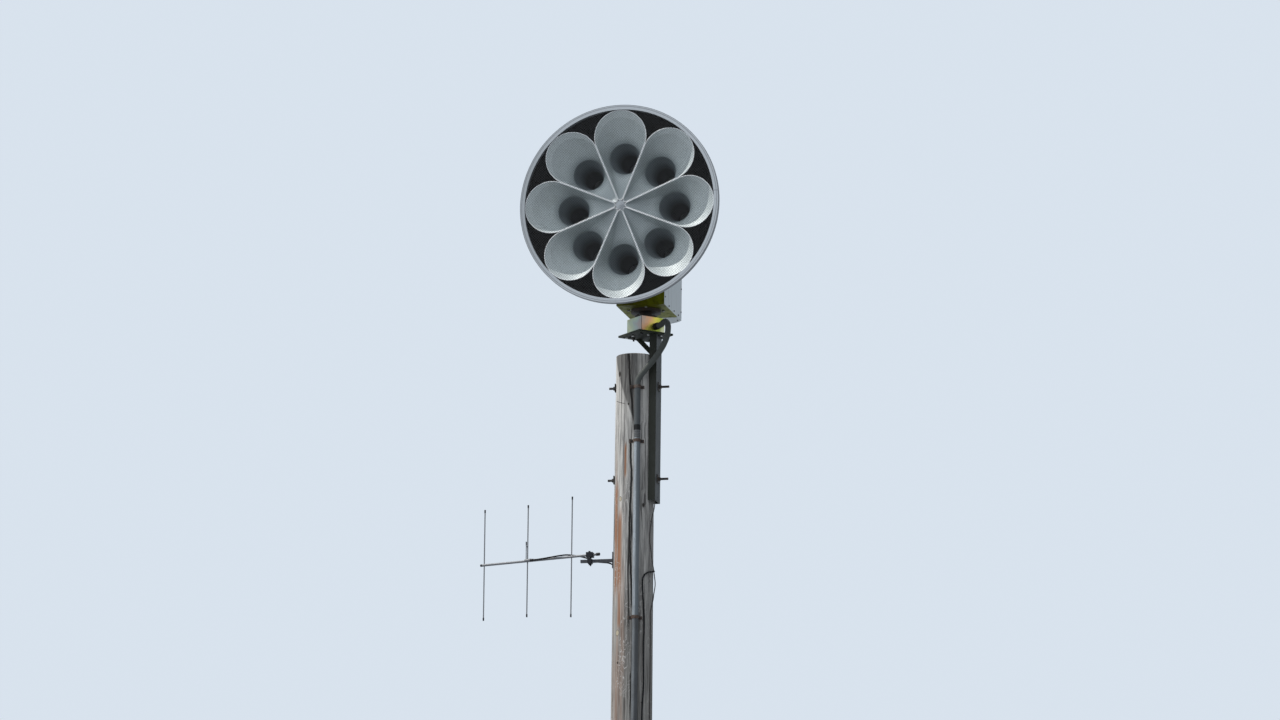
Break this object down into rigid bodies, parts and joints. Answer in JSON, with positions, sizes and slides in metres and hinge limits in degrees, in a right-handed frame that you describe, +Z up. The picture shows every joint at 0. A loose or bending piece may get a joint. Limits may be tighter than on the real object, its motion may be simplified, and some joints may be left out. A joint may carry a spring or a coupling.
{
  "type": "civil defense siren tower",
  "caption": "Wood pole with a bolted steel post, a rotator box and a turning siren head whose petal horns share a round rim, with conduit, an antenna and a control cabinet",
  "frame": {"origin": "centre of the pole at the ground line", "axes": "+Z up along the pole, the horns face -Y at rest, the channel post is on the +X side of the pole"},
  "size_m": [1.8641, 1.265, 14.64],
  "materials": {
    "weathered_wood": "weathered",
    "galvanized_post": "dull galvanized",
    "olive_steel": "dark weathered",
    "dark_bolts": "weathered",
    "yellow_zinc": "iridescent yellow zinc",
    "olive_zinc": "yellow zinc",
    "brown_iron": "oiled and rusty",
    "cover_paint": "satin silver grey",
    "rim_paint": "satin silver",
    "cell_paint": "satin silver grey",
    "shell_paint": "satin",
    "black_plastic": "matt",
    "grey_conduit": "matt",
    "galvanized_conduit": "dull galvanized",
    "strap_steel": "rusty",
    "cabinet_paint": "satin grey",
    "antenna_aluminium": "dull",
    "black_cable": "matt",
    "ground_copper": "tarnished"
  },
  "bodies": {
    "tower": {"antenna_arm": "galvanized_post", "antenna_boom": "antenna_aluminium", "antenna_cable": "black_cable", "antenna_clamp": "antenna_aluminium", "antenna_director": "antenna_aluminium", "antenna_driven": "antenna_aluminium", "antenna_gamma_match": "antenna_aluminium", "antenna_reflector": "antenna_aluminium", "bearing_ring": "brown_iron", "cabinet_brackets": "galvanized_post", "cabinet_door": "cabinet_paint", "cabinet_hinges": "cabinet_paint", "cabinet_hubs": "galvanized_conduit", "cabinet_latch": "black_plastic", "conduit_connector": "grey_conduit", "conduit_couplings": "galvanized_conduit", "conduit_gland": "black_plastic", "conduit_straps": "strap_steel", "control_cabinet": "cabinet_paint", "flex_conduit": "grey_conduit", "ground_wire": "ground_copper", "mount_channel": "galvanized_post", "mount_plate": "olive_steel", "plate_brace": "olive_steel", "pole": "weathered_wood", "rigid_conduit": "galvanized_conduit", "rotator_box": "yellow_zinc", "rotator_box_bolts": "dark_bolts", "rotator_lid": "yellow_zinc", "through_bolt_nuts": "dark_bolts", "through_bolt_rods": "dark_bolts", "through_bolt_washers": "dark_bolts"},
    "head": {"spindle_flange": "brown_iron", "head_frame": "olive_zinc", "left_side_cover": "cover_paint", "right_side_cover": "cover_paint", "rear_cover": "cover_paint", "top_cover": "cover_paint", "horn_rim": "rim_paint", "horn_shell": "shell_paint", "horn_back_plate": "shell_paint", "sound_drum": "cover_paint", "horn_hub": "rim_paint", "horn_hub_cap": "rim_paint", "horn_cell_1": "cell_paint", "horn_cell_2": "cell_paint", "horn_cell_3": "cell_paint", "horn_cell_4": "cell_paint", "horn_cell_5": "cell_paint", "horn_cell_6": "cell_paint", "horn_cell_7": "cell_paint", "horn_cell_8": "cell_paint"}
  },
  "joints": [
    {"name": "head_rotation", "type": "hinge", "parent": "tower", "child": "head", "pos_m": [0.068, 0, 13.3], "axis": [0, 0, 1], "continuous": true}
  ]
}
